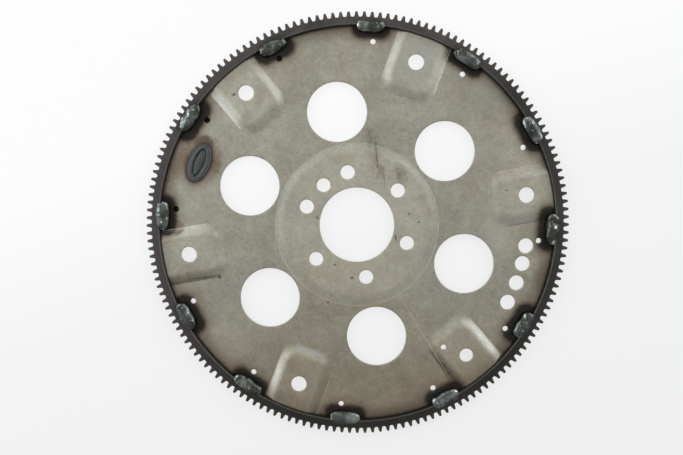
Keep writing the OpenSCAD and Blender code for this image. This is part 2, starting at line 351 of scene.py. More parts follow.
def store_values(obj, name, values):
    """Stores one number at each point of a mesh, for the materials to read."""
    store = obj.data.attributes.new(name, "FLOAT", "POINT")
    store.data.foreach_set("value", values)


def point_values(obj, function):
    """Stores what a function of the flat place gives at each point of a mesh, under the function's name."""
    values = [function(v.co.x / MM, v.co.y / MM) for v in obj.data.vertices]
    store_values(obj, function.__name__, values)


def finish_piece(obj, material, slot, *nodes):
    """Gives a piece its finish, sets it on the root body and hides the solids it stands for."""
    obj.data.materials.clear()
    obj.data.materials.append(material)
    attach(obj, "root")
    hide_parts(*nodes)


# Node helpers

class Tree:
    """Short calls for building shader and geometry node trees."""

    def __init__(self, tree):
        self.tree = tree

    def node(self, kind, **settings):
        made = self.tree.nodes.new(kind)
        for key, value in settings.items():
            setattr(made, key, value)
        return made

    def join(self, source, target):
        self.tree.links.new(source, target)

    def put(self, socket, value):
        """Links a socket or sets a plain value."""
        if isinstance(value, bpy.types.NodeSocket):
            self.join(value, socket)
        else:
            socket.default_value = value

    def math(self, operation, *values, clamp=False):
        made = self.node("ShaderNodeMath", operation=operation, use_clamp=clamp)
        for socket, value in zip(made.inputs, values):
            self.put(socket, value)
        return made.outputs[0]

    def plus(self, base, value, share):
        """A base and a share of another value."""
        return self.math("ADD", base, self.math("MULTIPLY", value, share))

    def distance(self, x, y):
        """How far a point lies from the middle."""
        squares = [self.math("POWER", value, 2.0) for value in (x, y)]
        return self.math("SQRT", self.math("ADD", *squares))

    def parts(self, place):
        """The X, Y and Z of a place."""
        made = self.node("ShaderNodeSeparateXYZ")
        self.join(place, made.inputs[0])
        return made.outputs

    def along(self, place, x, y):
        """How far a place lies in a direction of the turned view."""
        part = self.parts(place)
        toward_x, toward_y = turned(x, y)
        return self.plus(self.math("MULTIPLY", part["X"], toward_x), part["Y"], toward_y)

    def stored(self, name):
        """What a mesh stores at its points."""
        return self.node("ShaderNodeAttribute", attribute_name=name).outputs["Fac"]

    def mix(self, factor, first, second, blend="MIX"):
        made = self.node("ShaderNodeMix", data_type="RGBA", blend_type=blend)
        self.put(made.inputs["Factor"], factor)
        self.put(made.inputs[6], first)
        self.put(made.inputs[7], second)
        return made.outputs[2]

    def noise(self, place, scale, detail=4.0, rough=0.55, warp=0.0):
        made = self.node("ShaderNodeTexNoise")
        self.put(made.inputs["Vector"], place)
        self.put(made.inputs["Scale"], scale)
        made.inputs["Detail"].default_value = detail
        made.inputs["Roughness"].default_value = rough
        made.inputs["Distortion"].default_value = warp
        return made.outputs["Fac"]

    def span(self, value, low, high, to_low=0.0, to_high=1.0):
        made = self.node("ShaderNodeMapRange", interpolation_type="SMOOTHSTEP")
        self.put(made.inputs["Value"], value)
        limits = {"From Min": low, "From Max": high, "To Min": to_low, "To Max": to_high}
        for key, number in limits.items():
            self.put(made.inputs[key], number)
        return made.outputs["Result"]

    def ramp(self, value, stops):
        made = self.node("ShaderNodeValToRGB")
        self.put(made.inputs["Fac"], value)
        points = made.color_ramp.elements
        while len(points) < len(stops):
            points.new(0.5)
        for point, (place, colour) in zip(points, stops):
            point.position = place
            point.color = (*colour, 1)
        return made.outputs["Color"]

    def group(self, tree, **values):
        made = self.node("ShaderNodeGroup", node_tree=tree)
        for key, value in values.items():
            self.put(made.inputs[key], value)
        return made.outputs

    def stretch(self, place, scale=(1, 1, 1), turn=0.0, move=(0, 0, 0)):
        made = self.node("ShaderNodeMapping", vector_type="TEXTURE")
        self.put(made.inputs["Vector"], place)
        made.inputs["Location"].default_value = move
        made.inputs["Rotation"].default_value = (0, 0, turn)
        made.inputs["Scale"].default_value = scale
        return made.outputs["Vector"]


def new_group(name, inputs, outputs, kind="ShaderNodeTree"):
    """A node group with its helper and the sockets of its inputs and outputs."""
    tree = bpy.data.node_groups.new(name, kind)
    for label, socket_kind, value in inputs:
        socket = tree.interface.new_socket(label, in_out="INPUT", socket_type=socket_kind)
        if value is not None:
            socket.default_value = value
    for label, socket_kind in outputs:
        tree.interface.new_socket(label, in_out="OUTPUT", socket_type=socket_kind)
    build = Tree(tree)
    return tree, build, build.node("NodeGroupInput").outputs, build.node("NodeGroupOutput").inputs


NUMBER, COLOUR, VECTOR = "NodeSocketFloat", "NodeSocketColor", "NodeSocketVector"
COUNT, SHAPE, FINISH = "NodeSocketInt", "NodeSocketGeometry", "NodeSocketMaterial"

# How long and wide the lines of the rolled sheet are, in metres
ROLLED_STRETCH = (0.018, 0.0009, 0.004)
# Colours that heat leaves, from the metal to the weld
STRAW_TINT = (0.165, 0.125, 0.085, 1)
BROWN_TINT = (0.06, 0.045, 0.033, 1)
SOOT = (0.02, 0.0177, 0.0153, 1)


def make_grain():
    """Fine rolled-metal grain: a value about 0.5 and a height for bump."""
    tree, t, i, o = new_group(
        "metal_grain",
        [("Place", VECTOR, None), ("Scale", NUMBER, 1.0), ("Blotch Scale", NUMBER, 30.0)],
        [("Grain", NUMBER), ("Blotch", NUMBER), ("Height", NUMBER)],
    )
    rolled = t.stretch(i["Place"], ROLLED_STRETCH, VIEW_TURN + math.pi / 2)
    lines = t.noise(rolled, i["Scale"], 4, 0.6)
    specks = t.noise(i["Place"], t.math("MULTIPLY", i["Scale"], 900.0), 3, 0.6)
    blotch = t.noise(i["Place"], i["Blotch Scale"], 5, 0.6, 0.4)
    t.join(t.plus(t.math("MULTIPLY", lines, 0.5), specks, 0.5), o["Grain"])
    t.join(blotch, o["Blotch"])
    t.join(t.plus(specks, lines, 0.6), o["Height"])
    return tree


def make_heat():
    """Colours left by heat: soot next to the weld, then brown, straw and bare metal."""
    tree, t, i, o = new_group(
        "weld_heat",
        [
            ("Metal", COLOUR, (0.3, 0.3, 0.25, 1)),
            ("Place", VECTOR, None),
            ("Distance", NUMBER, 0.0),
            ("Soot Reach", NUMBER, 8.0),
            ("Tint Reach", NUMBER, 22.0),
        ],
        [("Colour", COLOUR), ("Soot", NUMBER)],
    )
    ragged = t.math("SUBTRACT", t.noise(i["Place"], 330.0, 5, 0.65), 0.5)
    broad = t.math("SUBTRACT", t.noise(i["Place"], 45.0, 3, 0.5), 0.5)
    moved = t.plus(t.plus(i["Distance"], ragged, 3.4), broad, 4.4)
    soot = t.span(moved, t.math("ADD", i["Soot Reach"], 1.4), t.math("SUBTRACT", i["Soot Reach"], 2.0))
    brown = t.span(moved, t.math("ADD", i["Soot Reach"], 4.5), t.math("SUBTRACT", i["Soot Reach"], 1.2))
    straw = t.span(moved, i["Tint Reach"], i["Soot Reach"])
    tinted = t.mix(t.math("MULTIPLY", straw, 0.5), i["Metal"], STRAW_TINT)
    tinted = t.mix(t.math("MULTIPLY", brown, 0.8), tinted, BROWN_TINT)
    tinted = t.mix(t.math("MULTIPLY", soot, 0.9), tinted, SOOT)
    t.join(tinted, o["Colour"])
    t.join(soot, o["Soot"])
    return tree


def make_stain():
    """A soft-edged mark: 1 in its middle and 0 outside its length and width, in metres."""
    tree, t, i, o = new_group(
        "stain_mark",
        [
            ("Place", VECTOR, None),
            ("X", NUMBER, 0.0),
            ("Y", NUMBER, 0.0),
            ("Length", NUMBER, 0.01),
            ("Width", NUMBER, 0.005),
            ("Turn", NUMBER, 0.0),
            ("Softness", NUMBER, 0.5),
            ("Ragged", NUMBER, 0.5),
        ],
        [("Mask", NUMBER)],
    )
    part = t.parts(i["Place"])
    x = t.math("SUBTRACT", part["X"], i["X"])
    y = t.math("SUBTRACT", part["Y"], i["Y"])
    cos, sin = t.math("COSINE", i["Turn"]), t.math("SINE", i["Turn"])
    along = t.plus(t.math("MULTIPLY", x, cos), y, sin)
    across = t.math("SUBTRACT", t.math("MULTIPLY", y, cos), t.math("MULTIPLY", x, sin))
    along = t.math("DIVIDE", along, t.math("MULTIPLY", i["Length"], 0.5))
    across = t.math("DIVIDE", across, t.math("MULTIPLY", i["Width"], 0.5))
    reach = t.distance(along, across)
    wander = t.math("SUBTRACT", t.noise(i["Place"], 230.0, 5, 0.7), 0.5)
    reach = t.plus(reach, wander, i["Ragged"])
    t.join(t.span(reach, 1.0, t.math("SUBTRACT", 1.0, i["Softness"])), o["Mask"])
    return tree


GRAIN, HEAT, STAIN = make_grain(), make_heat(), make_stain()


def new_material(name, metallic, grain_scale, blotch_scale):
    """A metal material with its node helper, its shader, the place on the object and the grain there."""
    material = bpy.data.materials.new(name)
    material.use_nodes = True
    t = Tree(material.node_tree)
    shader = material.node_tree.nodes["Principled BSDF"]
    shader.inputs["Metallic"].default_value = metallic
    place = t.node("ShaderNodeTexCoord").outputs["Object"]
    grain = t.group(GRAIN, **{"Place": place, "Scale": grain_scale, "Blotch Scale": blotch_scale})
    return material, t, shader, place, grain


def finish_shader(t, shader, colour, rough, height, strength, depth):
    """Links colour, roughness and a bump of a strength and depth to a shader."""
    bump = t.node("ShaderNodeBump")
    bump.inputs["Strength"].default_value = strength
    bump.inputs["Distance"].default_value = depth
    t.join(height, bump.inputs["Height"])
    t.join(bump.outputs["Normal"], shader.inputs["Normal"])
    t.join(colour, shader.inputs["Base Color"])
    t.join(rough, shader.inputs["Roughness"])


# Finishes of the plate, and of the marks on it
# Painted shade, with a browner tone, for the lower side of the view
LOWER_SIDE_SHADE = (0.208, 0.17, 0.114, 1)
# The grey of the painted reflection on lit slopes
SLOPE_REFLECTION_GREY = (0.285, 0.288, 0.27, 1)
RIM_BROWN = (0.085, 0.06, 0.04, 1)
SHEARED = (0.5, 0.49, 0.45, 1)
# Near-black painted shade for the walls of holes with the counterweight behind them
SHUT_HOLE_SHADE = (0.012, 0.011, 0.01, 1)
DARK = (0.035, 0.026, 0.018, 1)
RUST = (0.12, 0.075, 0.04, 1)
SHADE = (0.17, 0.16, 0.13, 1)
LIGHT = (0.42, 0.405, 0.345, 1)
STRAW = (0.13, 0.09, 0.045, 1)
PALE = (0.62, 0.58, 0.5, 1)
GOLD = (0.46, 0.38, 0.22, 1)
COOL = (0.3, 0.302, 0.288, 1)
# Marks in the turned view: x, y, length, width, turn, softness, raggedness, depth and colour
MARKS = (
    (15.5, 60, 56, 20, 98, 1.0, 2.8, 0.32, RUST),
    (19.5, 47, 30, 9.0, 100, 1.0, 3.2, 0.3, DARK),
    (10.5, 74, 26, 8.0, 88, 1.0, 3.2, 0.24, DARK),
    (16.8, 58, 40, 2.6, 96, 0.9, 1.4, 0.42, DARK),
    (23.0, 41, 22, 2.4, 95, 0.9, 1.4, 0.45, DARK),
    (38.0, 44, 28, 16, 104, 1.0, 2.8, 0.34, RUST),
    (36.5, 41, 14, 5.0, 112, 1.0, 2.6, 0.26, DARK),
    (1.0, -72, 110, 22, 4, 1.0, 2.0, 0.24, RUST),
    (-78, -60, 60, 30, -60, 1.0, 2.0, 0.2, RUST),
    (-23, 34, 5.2, 2.86, 20, 0.8, 1, 0.86, DARK),
    (-34, 6, 4.16, 2.6, 80, 0.8, 1, 0.8, DARK),
    (52.8, 2.3, 3.12, 2.34, 0, 0.7, 0.8, 0.86, DARK),
    (44.4, 9.2, 2.86, 2.08, 30, 0.7, 0.8, 0.8, DARK),
    (33.3, -11, 8.45, 2.86, 95, 0.8, 1.1, 0.63, DARK),
    (-18.8, -34.3, 3.9, 2.6, 40, 0.8, 1, 0.69, DARK),
    (-4.3, -45.4, 5.2, 3.12, 10, 0.8, 1, 0.69, DARK),
    (-24.7, -66.7, 4.68, 2.6, 15, 0.8, 1, 0.57, DARK),
    (-104, 110.5, 4.42, 3.38, 40, 0.8, 1, 0.8, DARK),
    (-65.7, 140.9, 7.0, 7.0, 0, 0.5, 0.4, 0.8, DARK),
    (-127.4, 89.2, 7.0, 7.0, 0, 0.5, 0.4, 0.75, DARK),
    (-154.9, 13.6, 7.0, 7.0, 0, 0.5, 0.4, 0.75, DARK),
    (126.8, 29.3, 2.86, 2.08, 0, 0.8, 0.9, 0.69, DARK),
    (-155.0, -2.0, 17, 15, 0, 0.35, 0.35, 0.45, RUST),
    (-152.0, -6.5, 12, 5, 40, 0.8, 0.5, 0.5, DARK),
    # A dark band along the lower side of a pad: painted shade
    (80.0, -133.0, 44, 5, -53, 0.9, 0.5, 0.5, DARK),
    # A dark band along the lower side of a pad: painted shade
    (-132.0, -45.3, 34, 2.6, 8, 1.0, 0.7, 0.6, DARK),
    (-118, -44.8, 5.85, 5.2, 0, 0.9, 0.8, 0.8, DARK),
    (56.0, -92.7, 156, 0.9, -58.5, 0.7, 0.1, 0.9, GOLD),
    (-128.5, -28.7, 6.5, 0.5, -78, 0.8, 0.3, 0.6, PALE),
    (-126.0, -29.5, 5.0, 0.5, -78, 0.8, 0.3, 0.5, PALE),
    (-44.0, 52.0, 14, 0.5, 38, 0.9, 0.3, 0.4, PALE),
    (39.2, 107.3, 36, 1.0, -18, 0.9, 0.3, 0.35, PALE),
    (112.6, 19.4, 48, 1.0, 95, 0.9, 0.3, 0.25, PALE),
    (-70.0, -20.0, 40, 1.0, 92, 0.9, 0.3, 0.2, PALE),
    (-120.0, 54.0, 10, 0.5, -64, 0.9, 0.3, 0.4, PALE),
    (50, 137, 90, 80, 70, 1.0, 0.5, 0.5, COOL),
    (-155, 50, 46, 26, 72, 1.0, 0.9, 0.5, RUST),
    (157, -45, 44, 26, 74, 1.0, 0.9, 0.5, RUST),
    (-141, -38, 40, 26, 10, 1.0, 0.9, 0.28, RUST),
    (84, 112, 70, 44, 150, 1.0, 0.9, 0.16, RUST),
    (108, 106, 90, 70, 135, 1.0, 0.9, 0.36, SHADE),
    (-48, 134, 70, 34, 20, 1.0, 0.9, 0.16, RUST),
    (122, -6, 60, 44, 90, 1.0, 0.9, 0.42, LIGHT),
    (-112, 62, 40, 30, 60, 1.0, 0.9, 0.18, LIGHT),
    (-81, 93, 30, 26, 40, 1.0, 0.9, 0.25, LIGHT),
    (-100, -92, 70, 50, 50, 1.0, 0.9, 0.16, LIGHT),
    (92, 48, 30, 14, 20, 1.0, 1.2, 0.22, RUST),
    (-62, -118, 40, 20, -30, 1.0, 1.2, 0.2, RUST),
    (-139, -62, 64, 34, 110, 1.0, 1.2, 0.3, RUST),
    (-96, 88, 30, 16, 60, 1.0, 1.2, 0.2, RUST),
    (-133, 56, 54, 38, 75, 1.0, 0.9, 0.45, RUST),
    (-121, 51, 38, 20, 75, 1.0, 1.6, 0.8, STRAW),
    (-146, 58, 19, 34, 0, 1.0, 1.3, 0.65, RUST),
    (-130.5, 70, 28, 18, -10, 0.8, 1.3, 0.9, DARK),
)


# What heat spreads from, and how far its soot and its tint reach over the plate
HEATED = (("oval_distance", 0.2, 11.0), ("weld_distance", 9.5, 21.0))


def plate_material():
    material, t, shader, place, grain = new_material("bare_pressed_steel", 0.9, 1.0, 24.0)
    cloud = t.noise(place, 9.0, 3, 0.5)
    tint = t.noise(place, 55.0, 4, 0.6, 0.5)
    metal = t.ramp(
        t.plus(t.math("MULTIPLY", tint, 0.6), cloud, 0.4),
        ((0.34, (0.286, 0.276, 0.23)), (0.5, (0.302, 0.289, 0.234)), (0.68, (0.278, 0.252, 0.194))),
    )
    part = t.parts(place)
    radius = t.distance(part["X"], part["Y"])
    low = t.along(place, 0, -1)
    # Painted shade: the plate turns darker and browner towards the bottom of the view
    metal = t.mix(t.span(low, 0.05, 0.15, 0.0, 0.6), metal, LOWER_SIDE_SHADE)
    polish_and_light = t.plus(t.span(radius, 0.0715, 0.056, 0.0, 0.22), t.stored("pad_polish"), 0.32)
    # The slopes of pads and hub take painted highlight and shade, and a grey painted reflection where lit
    slope = t.stored("slope_light_and_shade")
    polish_and_light = t.plus(polish_and_light, slope, 0.55)
    metal = t.mix(t.math("MULTIPLY", slope, 1.8, clamp=True), metal, SLOPE_REFLECTION_GREY)
    bright = t.math("ADD", 1.0, polish_and_light)
    for size, depth in ((620.0, 0.6), (260.0, 0.45), (95.0, 0.4), (24.0, 0.26)):
        patch = t.math("SUBTRACT", t.noise(place, size, 3, 0.6, 0.3), 0.5)
        bright = t.plus(bright, patch, depth)
    metal = t.mix(1.0, metal, bright, "MULTIPLY")
    rim = t.math("MULTIPLY", t.stored("rim_shade"), t.span(cloud, 0.3, 0.7, 0.45, 0.8))
    metal = t.mix(rim, metal, RIM_BROWN)
    for x, y, length, width, turn, softness, ragged, depth, colour in MARKS:
        px, py = turned(x * MM, y * MM)
        mask = t.group(
            STAIN,
            **{
                "Place": place,
                "X": px,
                "Y": py,
                "Length": length * MM,
                "Width": width * MM,
                "Turn": math.radians(turn) + VIEW_TURN,
                "Softness": softness,
                "Ragged": ragged,
            },
        )["Mask"]
        metal = t.mix(t.math("MULTIPLY", mask, depth), metal, colour)
    for name, soot_reach, tint_reach in HEATED:
        heated = t.group(
            HEAT,
            **{
                "Metal": metal,
                "Place": place,
                "Distance": t.stored(name),
                "Soot Reach": soot_reach,
                "Tint Reach": tint_reach,
            },
        )
        metal = heated["Colour"]
    # Painted highlight lines, pale and more golden towards the bottom of the view, and painted shade lines
    # along the pressed bends
    line = t.stored("crease_light_and_shade")
    broken = t.noise(place, 60.0, 3, 0.6)
    bright_line = t.math("MULTIPLY", t.span(line, 0.0, 1.0), t.span(broken, 0.35, 0.6, 0.3, 0.85))
    line_colour = t.mix(t.span(low, 0.01, 0.07), PALE, GOLD)
    shown = t.mix(bright_line, metal, line_colour)
    dark_line = t.math("MULTIPLY", t.span(line, 0.0, -1.0), t.span(broken, 0.35, 0.6, 0.45, 0.8))
    shown = t.mix(dark_line, shown, DARK)
    wall = t.stored("sheared_wall_and_shade")
    shown = t.mix(t.span(wall, 0.0, 1.0, 0.0, 0.6), shown, SHEARED)
    # Painted shade darkens the walls of holes with the counterweight behind them
    shown = t.mix(t.span(wall, 0.0, -1.0, 0.0, 0.9), shown, SHUT_HOLE_SHADE)
    rough = t.span(grain["Blotch"], 0.3, 0.7, 0.37, 0.5)
    rough = t.plus(rough, heated["Soot"], 0.22)
    rough = t.math("SUBTRACT", rough, t.math("MULTIPLY", slope, 0.18, clamp=True))
    finish_shader(t, shader, shown, rough, t.plus(grain["Height"], cloud, 9.0), 0.12, 0.0004)
    return material


# Finishes of the ring and of the beads
RING_BROWN = (0.054, 0.046, 0.045, 1)
RING_BLACK = (0.0165, 0.015, 0.012, 1)
RING_SOOT = (0.022, 0.02, 0.019, 1)
WORN_EDGE_AND_HIGHLIGHT = (0.2, 0.19, 0.175, 1)
# Colour of the painted glints on the beads
PAINTED_GLINT = (0.48, 0.49, 0.46, 1)
# Sides of the ring in another colour: bearing in the turned view, start and end in metres, depth and colour
RING_SIDES = (
    (180, 0.02, 0.17, 0.75, RING_BROWN),
    # The dark side towards the bottom of the view is painted shade
    (285, 0.0, 0.14, 0.8, RING_BLACK),
    (28, 0.14, 0.172, 0.65, RING_BLACK),
)


def ring_material():
    material, t, shader, place, grain = new_material("dark_ring_steel", 0.75, 1.4, 40.0)
    metal = t.ramp(
        grain["Blotch"],
        ((0.3, (0.036, 0.032, 0.029)), (0.5, (0.053, 0.047, 0.043)), (0.7, (0.075, 0.068, 0.062))),
    )
    for bearing, start, end, depth, colour in RING_SIDES:
        side = t.along(place, *polar(1, math.radians(bearing)))
        metal = t.mix(t.span(side, start, end, 0.0, depth), metal, colour)
    metal = t.mix(t.span(t.stored("weld_distance"), 10.0, 4.5, 0.0, 0.7), metal, RING_SOOT)
    # Worn edges, and a painted highlight on the inner chamfer, are lighter
    wear_and_highlight = t.math("MULTIPLY", t.stored("worn_edge_and_highlight"), t.span(grain["Grain"], 0.3, 0.62))
    metal = t.mix(t.math("MULTIPLY", wear_and_highlight, 0.3), metal, WORN_EDGE_AND_HIGHLIGHT)
    rough = t.span(grain["Blotch"], 0.3, 0.7, 0.42, 0.58)
    finish_shader(t, shader, metal, rough, grain["Height"], 0.25, 0.0003)
    return material


def weld_material():
    material, t, shader, place, grain = new_material("weld_metal", 1.0, 2.0, 70.0)
    painted_gleam = t.stored("bead_painted_gleam")
    metal = t.ramp(
        t.plus(grain["Blotch"], painted_gleam, 0.6),
        (
            (0.3, (0.024, 0.023, 0.019)),
            (0.46, (0.058, 0.063, 0.056)),
            (0.56, (0.1, 0.113, 0.11)),
            (0.66, (0.25, 0.262, 0.25)),
        ),
    )
    # Painted glints, more of them at the ends of a bead
    painted_glint_spot = t.plus(t.noise(place, 260.0, 2, 0.5, 0.3), t.stored("bead_end"), 0.1)
    painted_glint_spot = t.plus(painted_glint_spot, painted_gleam, 0.15)
    metal = t.mix(t.span(painted_glint_spot, 0.62, 0.74, 0.0, 0.85), metal, PAINTED_GLINT)
    rough = t.span(grain["Blotch"], 0.3, 0.7, 0.28, 0.1)
    finish_shader(t, shader, metal, rough, grain["Blotch"], 0.08, 0.0006)
    return material


def oval_material():
    material, t, shader, _, grain = new_material("fused_oval_steel", 0.9, 1.6, 150.0)
    inset = t.math("DIVIDE", t.stored("oval_distance"), -OVAL_HALF_WIDTH)
    bands = t.ramp(
        t.plus(inset, t.math("SUBTRACT", grain["Blotch"], 0.5), 0.22),
        (
            (0.0, (0.03, 0.029, 0.026)),
            (0.08, (0.1, 0.098, 0.098)),
            (0.165, (0.045, 0.045, 0.043)),
            (0.25, (0.077, 0.081, 0.074)),
            (0.47, (0.07, 0.075, 0.069)),
            (0.54, (0.02, 0.023, 0.023)),
            (0.65, (0.022, 0.025, 0.025)),
            (0.74, (0.058, 0.069, 0.068)),
        ),
    )
    metal = t.mix(t.span(grain["Grain"], 0.4, 0.7, 0.0, 0.35), bands, (0.045, 0.048, 0.046, 1))
    rough = t.span(grain["Blotch"], 0.3, 0.7, 0.4, 0.52)
    finish_shader(t, shader, metal, rough, grain["Blotch"], 0.3, 0.0004)
    return material


def counterweight_material():
    material, t, shader, place, grain = new_material("oiled_weight_steel", 0.8, 1.0, 50.0)
    metal = t.ramp(
        grain["Blotch"],
        ((0.3, (0.03, 0.027, 0.024)), (0.5, (0.05, 0.045, 0.04)), (0.7, (0.08, 0.072, 0.063))),
    )
    # The front face, seen only through the holes, is near black: painted shade, partly soot
    front_shade = t.span(t.parts(place)["Z"], 0.0024, 0.0029)
    metal = t.mix(front_shade, metal, (0.007, 0.0065, 0.006, 1))
    rough = t.span(grain["Blotch"], 0.3, 0.7, 0.45, 0.62)
    finish_shader(t, shader, metal, rough, grain["Height"], 0.2, 0.0003)
    return material


# The pressed plate

# Points round the plate's edge and the hub, and along half of a pad's inner end
EDGE_POINTS, HUB_POINTS, PAD_END_POINTS = 720, 400, 10
# Spacing of the grid between the bends, and of its rows as a share of that
GRID, ROW_SHARE = 2.0, 0.866
# Room that the bends and the grid leave round holes
BEND_ROOM, GRID_ROOM = 0.3, 0.9
# How far outside and inside the foot of a pad, or of the hub, no points of the grid lie
BEND_OUTSIDE, PAD_BEND_INSIDE, HUB_BEND_INSIDE = 1.8, 12, 10.4
# Rounded edges of the sheet as shares of their size: inwards, and down from the front face, or up from the
# back face if less than 0
EDGE_STRIPS = ((0.55, 0.11), (0.88, 0.45), (1.0, 1.0), (1.0, -1.0), (0.7, -0.3))


def plate_points():
    """Points of the flat pattern: rings round the holes, lines along the bends and a grid."""
    points, loops = [], []

    def loop(x, y, radius, count):
        first = len(points)
        for k in range(count):
            px, py = polar(radius, 2 * math.pi * k / count)
            points.append((x + px, y + py))
        loops.append(range(first, first + count))

    loop(0, 0, PLATE_EDGE - HOLE_EDGE, EDGE_POINTS)
    for x, y, radius, count in HOLES:
        loop(x, y, radius + HOLE_EDGE, count)

    def free(x, y, room):
        if math.hypot(x, y) > PLATE_EDGE - HOLE_EDGE - room:
            return False
        return all(math.hypot(x - hx, y - hy) > hr + HOLE_EDGE + room for hx, hy, hr, _ in HOLES)

    def add(x, y, room):
        if free(x, y, room):
            points.append((x, y))

    straight = PLATE_EDGE - PAD_TOP_INNER - PAD_TOP_CORNER
    half = PAD_HALF_FLAT - PAD_TOP_CORNER
    for inside in PAD_LINES:
        corner = PAD_TOP_CORNER + PAD_SLOPE - inside
        line = [(j + 0.5, half + corner) for j in range(int(straight))]
        bends = max(int(corner * 1.57), 4)
        for j in range(bends + 1):
            px, py = polar(corner, math.pi / 2 + j * math.pi / 2 / bends)
            line.append((px, half + py))
        line += [(-corner, half * (j + 0.5) / PAD_END_POINTS) for j in range(PAD_END_POINTS)]
        for pad in range(PAD_COUNT):
            cos, sin = polar(1, PAD_STEP * pad)
            for along, across in line:
                along += PAD_TOP_INNER + PAD_TOP_CORNER
                for side in (-1, 1):
                    x, y = along * cos - side * across * sin, along * sin + side * across * cos
                    add(x, y, BEND_ROOM)
    for inside in HUB_LINES:
        for j in range(HUB_POINTS):
            add(*polar(HUB_FOOT - inside, j * 2 * math.pi / HUB_POINTS), BEND_ROOM)

    rows = int(PLATE_EDGE / (GRID * ROW_SHARE)) + 1
    for row in range(-rows, rows + 1):
        y = row * GRID * ROW_SHARE
        for column in range(-rows, rows + 1):
            x = (column + 0.5 * (row % 2)) * GRID
            on_pad = -BEND_OUTSIDE < inside_pad(x, y) < PAD_BEND_INSIDE
            on_hub = HUB_FOOT - HUB_BEND_INSIDE < math.hypot(x, y) < HUB_FOOT + BEND_OUTSIDE
            if not on_pad and not on_hub:
                add(x, y, GRID_ROOM)
    return points, loops


def make_plate(material):
    flat, loops = plate_points()
    edges = [(ring[k], ring[(k + 1) % len(ring)]) for ring in loops for k in range(len(ring))]
    spots, _, triangles, origin, _, _ = delaunay_2d_cdt(
        [Vector(p) for p in flat], edges, [], 0, 1e-5
    )
    where = {}
    for made, sources in enumerate(origin):
        for source in sources:
            where[source] = made
    flat = [(p.x, p.y) for p in spots]
    loops = [[where[k] for k in ring] for ring in loops]

    def solid(face):
        x = sum(flat[k][0] for k in face) / 3
        y = sum(flat[k][1] for k in face) / 3
        return all(math.hypot(x - hx, y - hy) > hr + HOLE_EDGE * 0.9 for hx, hy, hr, _ in HOLES)

    triangles = [face for face in triangles if solid(face)]
    heights = [plate_height(x, y) for x, y in flat]
    vertices = [(x, y, z) for (x, y), z in zip(flat, heights)]
    below = len(vertices)
    vertices += [(x, y, z - SHEET) for (x, y), z in zip(flat, heights)]
    faces = [tuple(face) for face in triangles]
    faces += [tuple(below + k for k in reversed(face)) for face in triangles]
    wall = [0.0] * len(vertices)
    centres = [(0, 0, -1)] + [(x, y, 1) for x, y, _, _ in HOLES]
    for ring, (cx, cy, side) in zip(loops, centres):
        count = len(ring)
        blocked = any(math.hypot(cx - x, cy - y) < 1 for x, y, _, _ in BLOCKED_HOLES)
        strips = [ring]
        for inward, down in EDGE_STRIPS:
            first = len(vertices)
            for k in ring:
                x, y = flat[k]
                reach = math.hypot(x - cx, y - cy)
                scale = (reach - side * inward * HOLE_EDGE) / reach
                z = heights[k] - down * HOLE_EDGE - (SHEET if down < 0 else 0)
                vertices.append((cx + (x - cx) * scale, cy + (y - cy) * scale, z))
            # Walls of holes with the counterweight behind them get -1, for painted shade; the others a bright
            # sheared rim
            wall += [-1.0 if blocked else inward ** 3] * count
            strips.append(range(first, first + count))
        strips.append([below + k for k in ring])
        for upper, lower in zip(strips, strips[1:]):
            for k in range(count):
                after = (k + 1) % count
                faces.append((upper[k], upper[after], lower[after], lower[k]))
    plate = new_object("drive_plate_pressed", vertices, faces)
    for function in (weld_distance, oval_distance, crease_light_and_shade, rim_shade, pad_polish, slope_light_and_shade):
        point_values(plate, function)
    store_values(plate, "sheared_wall_and_shade", wall)
    finish_piece(plate, material, "plate_steel", "drive_plate")


# The ring gear

# How far the ends of the teeth are bevelled
TOOTH_BEVEL = 0.45
# Points of neighbouring sectors that lie closer than this, in metres, become one
MERGE_DISTANCE = 0.00002
# Between these radii the ring's faces are plain
FACE_INNER, FACE_OUTER = RING_INNER + RING_CHAMFER + 0.5, ROOT_R - 1.2


def involute(radius):
    angle = math.acos(PITCH_R * math.cos(PRESSURE) / radius)
    return math.tan(angle) - angle


def half_tooth(radius):
    """Half the angle that a tooth takes up at a radius."""
    return TOOTH_THICKNESS / 2 / PITCH_R + involute(PITCH_R) - involute(radius)


def tooth_profile(shrink):
    """Half of a tooth gap, a tooth and half of a gap, as angles and radii; shrink draws it in for a bevel."""
    half = math.pi / TEETH
    tip = TIP_R - shrink
    foot = half_tooth(ROOT_R + 0.7)
    # From the middle of the gap round the foot and up the flank to the cut tip
    right = [
        (half, ROOT_R - shrink * 0.4),
        (foot + 0.75 / ROOT_R - shrink * 0.3 / ROOT_R, ROOT_R - shrink * 0.4),
        (foot + 0.2 / ROOT_R - shrink * 0.5 / ROOT_R, ROOT_R + 0.25 - shrink * 0.4),
        (foot - shrink * 0.5 / ROOT_R, ROOT_R + 0.8 - shrink * 0.4),
        (half_tooth(PITCH_R) - shrink * 0.6 / PITCH_R, PITCH_R),
        (half_tooth(TIP_R - TIP_CUT) - shrink * 0.7 / TIP_R, tip - TIP_CUT),
        (half_tooth(TIP_R) - (TIP_CUT + shrink * 0.7) / TIP_R, tip),
    ]
    return [(-a, r) for a, r in right] + [(a, r) for a, r in reversed(right)]


def bevelled(cut):
    """Heights across the ring's width, and how far the profile is drawn in at each."""
    return (0.0, cut), (cut, 0.0), (RING_WIDTH - cut, 0.0), (RING_WIDTH, cut)


